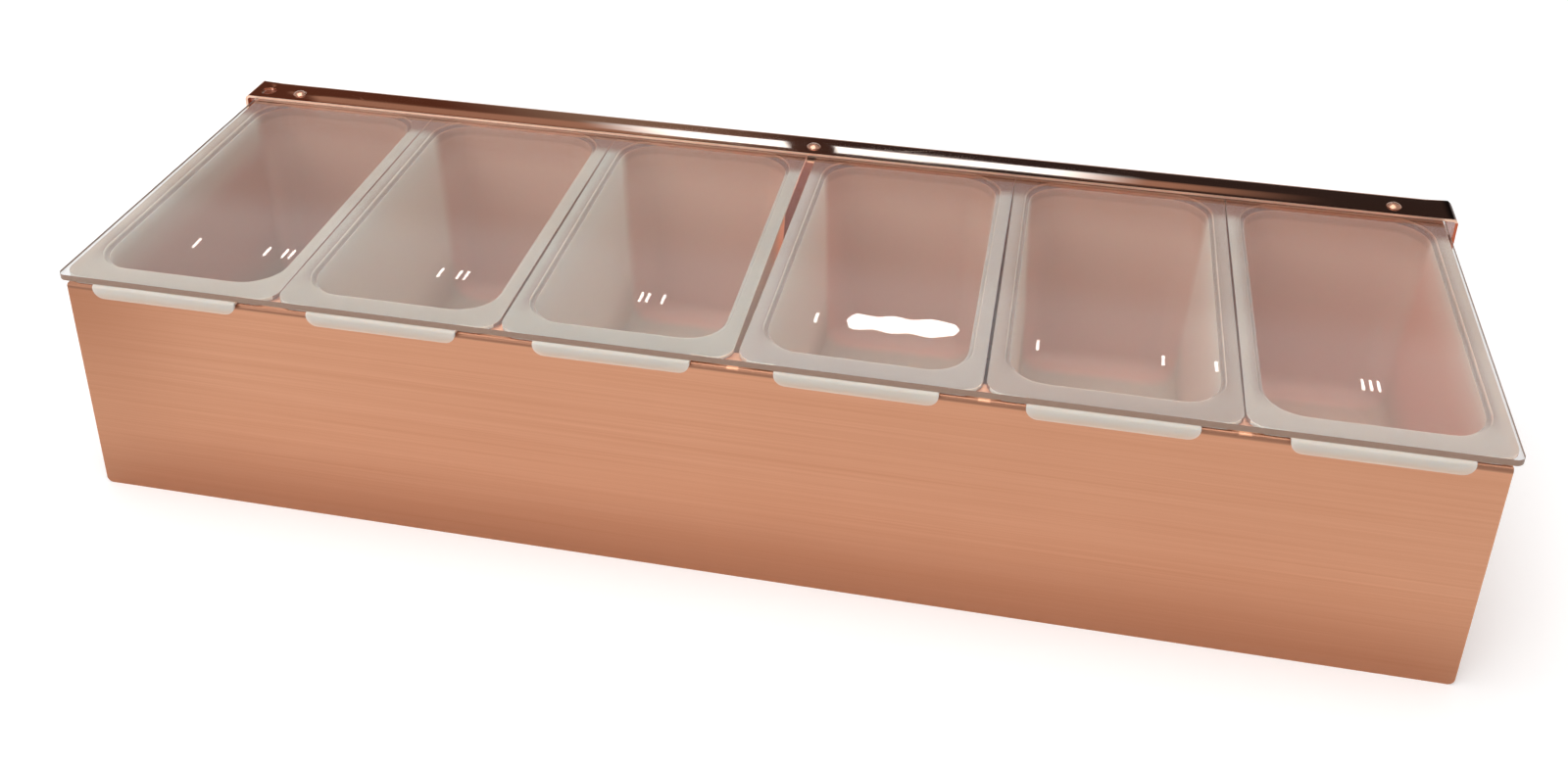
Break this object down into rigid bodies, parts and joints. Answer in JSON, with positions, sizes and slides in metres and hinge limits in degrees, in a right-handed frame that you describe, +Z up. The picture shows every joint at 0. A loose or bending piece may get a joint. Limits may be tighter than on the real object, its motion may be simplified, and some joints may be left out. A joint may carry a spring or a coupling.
{
  "type": "bar garnish tray",
  "caption": "Long copper sheet box holding a row of frosted lift-out inserts with front tabs, under a clear flat lid hinged on a riveted polished strip.",
  "frame": {"origin": "on the surface the tray stands on, under the middle of the whole tray with its lid closed", "axes": "+X to the right along the row of inserts, +Y from the tabs at the front to the hinge at the back, +Z up"},
  "size_m": [0.4752, 0.1606, 0.0891],
  "materials": {
    "brushed_copper": "copper-plated stainless sheet with a fine horizontal brushed grain",
    "polished_copper": "mirror-polished copper plating",
    "rivet_copper": "polished copper-plated rivets and pins",
    "bush_copper": "turned, copper plated",
    "washer_steel": "plain stamped steel",
    "frosted_plastic": "frosted translucent polypropylene, satin",
    "clear_acrylic": "clear acrylic with polished faces and bare sawn edges"
  },
  "bodies": {
    "box": {"body_wrap": "brushed_copper", "front_panel": "brushed_copper", "rear_panel": "brushed_copper", "insert_1": "frosted_plastic", "insert_2": "frosted_plastic", "insert_3": "frosted_plastic", "insert_4": "frosted_plastic", "insert_5": "frosted_plastic", "insert_6": "frosted_plastic", "hinge_pin_left": "rivet_copper", "hinge_pin_right": "rivet_copper", "spacer_bush_left": "bush_copper", "spacer_bush_right": "bush_copper", "backing_washer_left": "washer_steel", "backing_washer_right": "washer_steel"},
    "lid": {"lid_panel": "clear_acrylic", "hinge_strip": "polished_copper", "lid_rivet_left": "rivet_copper", "lid_rivet_middle": "rivet_copper", "lid_rivet_right": "rivet_copper"}
  },
  "joints": [
    {"name": "lid_hinge", "type": "hinge", "parent": "box", "child": "lid", "pos_m": [0, 0.07215, 0.072], "axis": [-1, 0, 0], "range_deg": [0, 105]}
  ]
}
